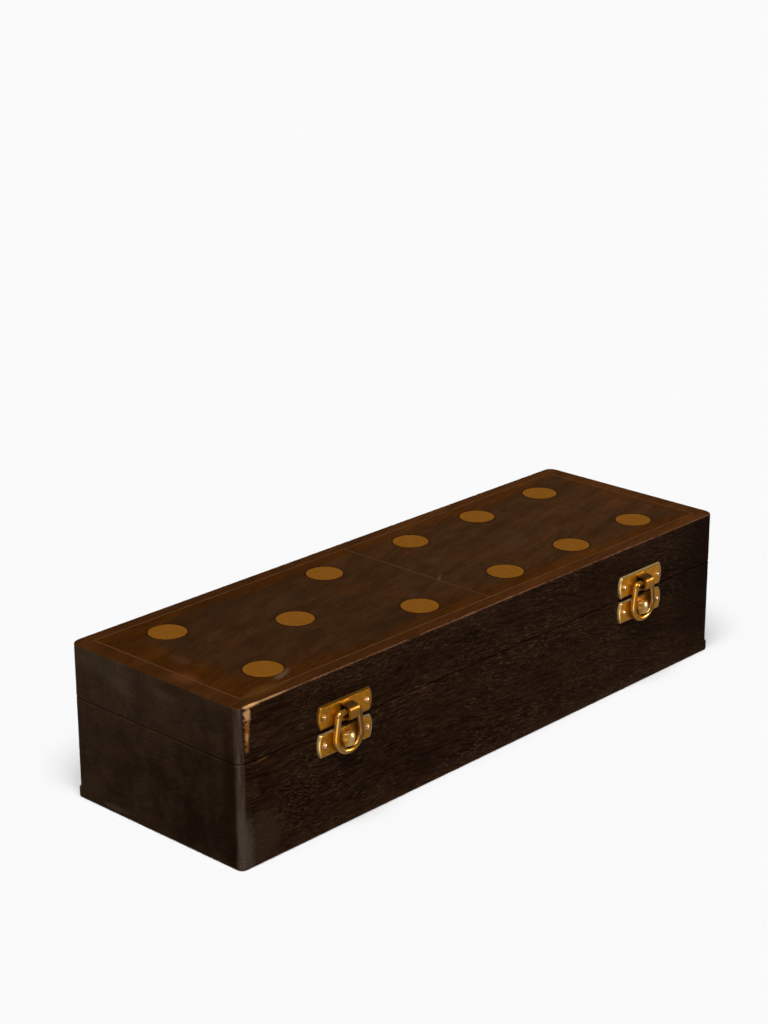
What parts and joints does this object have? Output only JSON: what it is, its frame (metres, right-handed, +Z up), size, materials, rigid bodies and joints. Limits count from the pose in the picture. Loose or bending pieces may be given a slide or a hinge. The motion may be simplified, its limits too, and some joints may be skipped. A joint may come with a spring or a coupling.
{
  "type": "domino storage box",
  "caption": "Long hardwood box for a domino set, with a hinged lid inlaid with brass spots and lines like a domino tile and shut by wire swing latches.",
  "frame": {"origin": "centre of the flat underside that the box stands on", "axes": "+X along the length towards the six-spot half of the lid, -Y towards the front with the latches, +Z up"},
  "size_m": [0.222, 0.0797, 0.05],
  "materials": {
    "case_wood": "satin",
    "lid_wood": "satin",
    "brass": "polished",
    "spot_brass": "matte"
  },
  "bodies": {
    "case": {"base_board": "case_wood", "case_front_board": "case_wood", "case_back_board": "case_wood", "case_left_board": "case_wood", "case_right_board": "case_wood", "left_catch_plate": "brass", "right_catch_plate": "brass", "catch_plate_nails": "brass", "left_hinge_case_leaf": "brass", "right_hinge_case_leaf": "brass", "left_hinge_pin": "brass", "right_hinge_pin": "brass", "hinge_case_nails": "brass"},
    "lid": {"lid_top_board": "lid_wood", "lid_front_rail": "lid_wood", "lid_back_rail": "lid_wood", "lid_left_rail": "lid_wood", "lid_right_rail": "lid_wood", "five_spot_inlay": "spot_brass", "six_spot_inlay": "spot_brass", "border_stringing": "brass", "centre_bar": "brass", "left_bail_plate": "brass", "right_bail_plate": "brass", "bail_plate_nails": "brass", "left_hinge_lid_leaf": "brass", "right_hinge_lid_leaf": "brass", "hinge_lid_nails": "brass"},
    "left_bail": {"left_bail": "brass"},
    "right_bail": {"right_bail": "brass"}
  },
  "joints": [
    {"name": "lid_hinge", "type": "hinge", "parent": "case", "child": "lid", "pos_m": [0, 0.0375, 0.03265], "axis": [-1, 0, 0], "range_deg": [0, 180]},
    {"name": "left_bail_swing", "type": "hinge", "parent": "lid", "child": "left_bail", "pos_m": [-0.0697, -0.038, 0.03675], "axis": [-1, 0, 0], "range_deg": [0, 180]},
    {"name": "right_bail_swing", "type": "hinge", "parent": "lid", "child": "right_bail", "pos_m": [0.0697, -0.038, 0.03675], "axis": [-1, 0, 0], "range_deg": [0, 180]}
  ]
}
